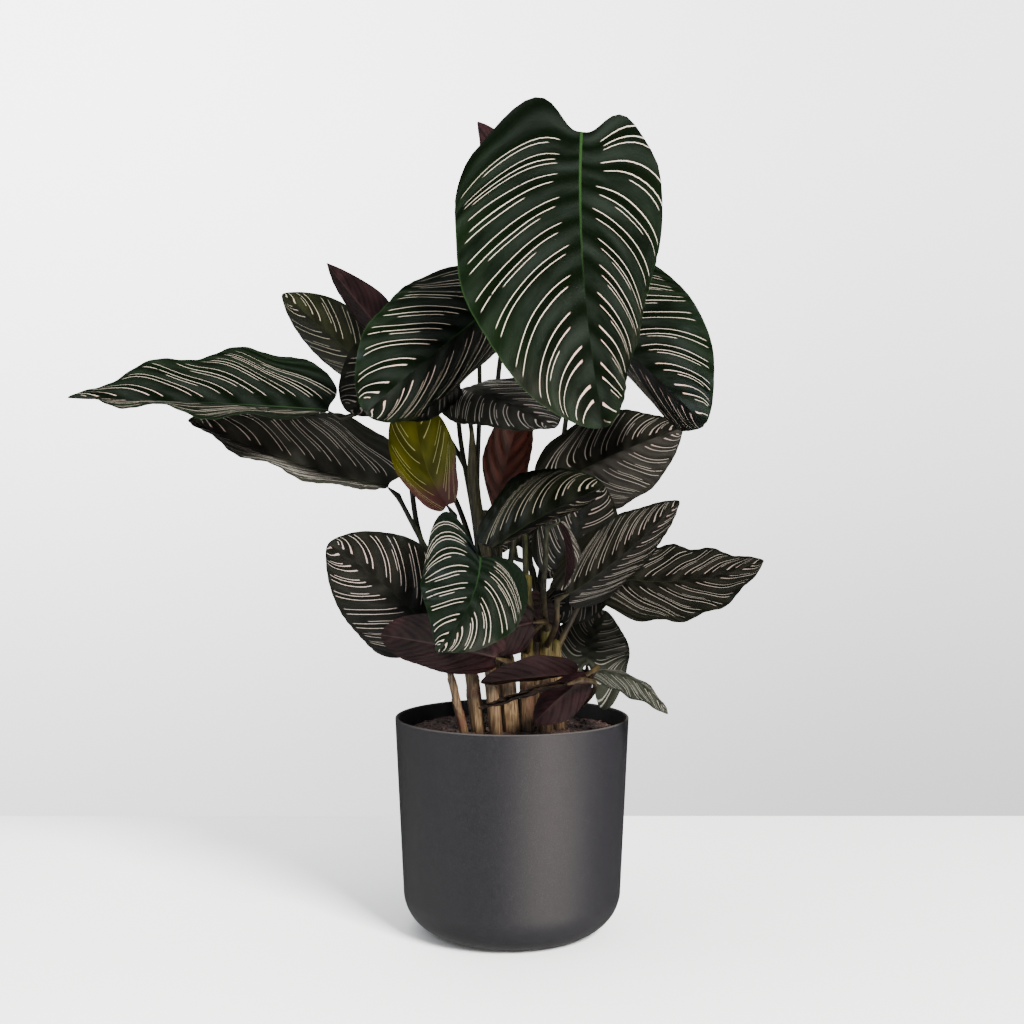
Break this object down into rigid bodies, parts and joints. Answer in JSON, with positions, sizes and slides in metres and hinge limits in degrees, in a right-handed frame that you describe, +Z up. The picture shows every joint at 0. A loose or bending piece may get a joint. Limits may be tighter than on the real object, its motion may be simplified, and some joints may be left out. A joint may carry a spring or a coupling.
{
  "type": "potted calathea",
  "caption": "Potted pinstripe calathea: broad striped blades on thin stalks that rise from sheathed shoots in a dark, round-footed pot filled with soil.",
  "frame": {"origin": "centre of the pot's flat foot, on the floor", "axes": "+Z up along the pot's axis, -Y towards the front that the picture shows, +X to that picture's right"},
  "size_m": [0.6401, 0.3821, 0.774],
  "materials": {
    "pot": "dark grey satin with a faint metallic speckle",
    "soil": "loose dark potting mix",
    "shoot": "tan to olive sheaths and thin green stalks",
    "leaf": "glossy dark green with fine cream-pink stripes above, matt purple below",
    "leaf_underside": "leaf that shows its matt purple underside",
    "withered": "dry brown",
    "yellow": "yellow-green with cream stripes",
    "spear": "red-brown rolled young leaf"
  },
  "bodies": {
    "root": {"pot": "pot", "soil": "soil", "shoot_left": "shoot", "shoot_left_front": "shoot", "shoot_front": "shoot", "shoot_middle": "shoot", "shoot_middle_right": "shoot", "shoot_right_front": "shoot", "shoot_right": "shoot", "shoot_back_left": "shoot", "shoot_back_right": "shoot", "leaf_crown_front": "leaf", "leaf_crown_right": "leaf", "leaf_crown_left": "leaf", "leaf_left_boat": "leaf", "leaf_left_long": "leaf", "leaf_left_low": "leaf", "leaf_upper_left_small": "leaf", "leaf_upper_left_dark": "leaf_underside", "leaf_under_crown": "leaf", "leaf_right_upper": "leaf", "leaf_front_rolled": "leaf", "leaf_front_heart": "leaf", "leaf_lower_left": "leaf", "leaf_lower_purple": "leaf_underside", "leaf_lower_right": "leaf", "leaf_right_front": "leaf", "leaf_right_inner": "leaf", "leaf_right_low_inner": "leaf", "leaf_low_round": "leaf", "leaf_low_curled": "leaf", "leaf_low_dark": "leaf_underside", "leaf_low_purple": "leaf_underside", "leaf_withered": "withered", "leaf_yellow": "yellow", "leaf_spear": "spear", "leaf_narrow_dark": "leaf_underside", "leaf_inner_left_dark": "leaf_underside", "leaf_inner_right_dark": "leaf_underside", "leaf_back_crown": "leaf", "leaf_back_right": "leaf", "leaf_back_left": "leaf", "leaf_back_low_right": "leaf", "leaf_back_low_left": "leaf", "leaf_back_mid": "leaf"}
  },
  "joints": []
}
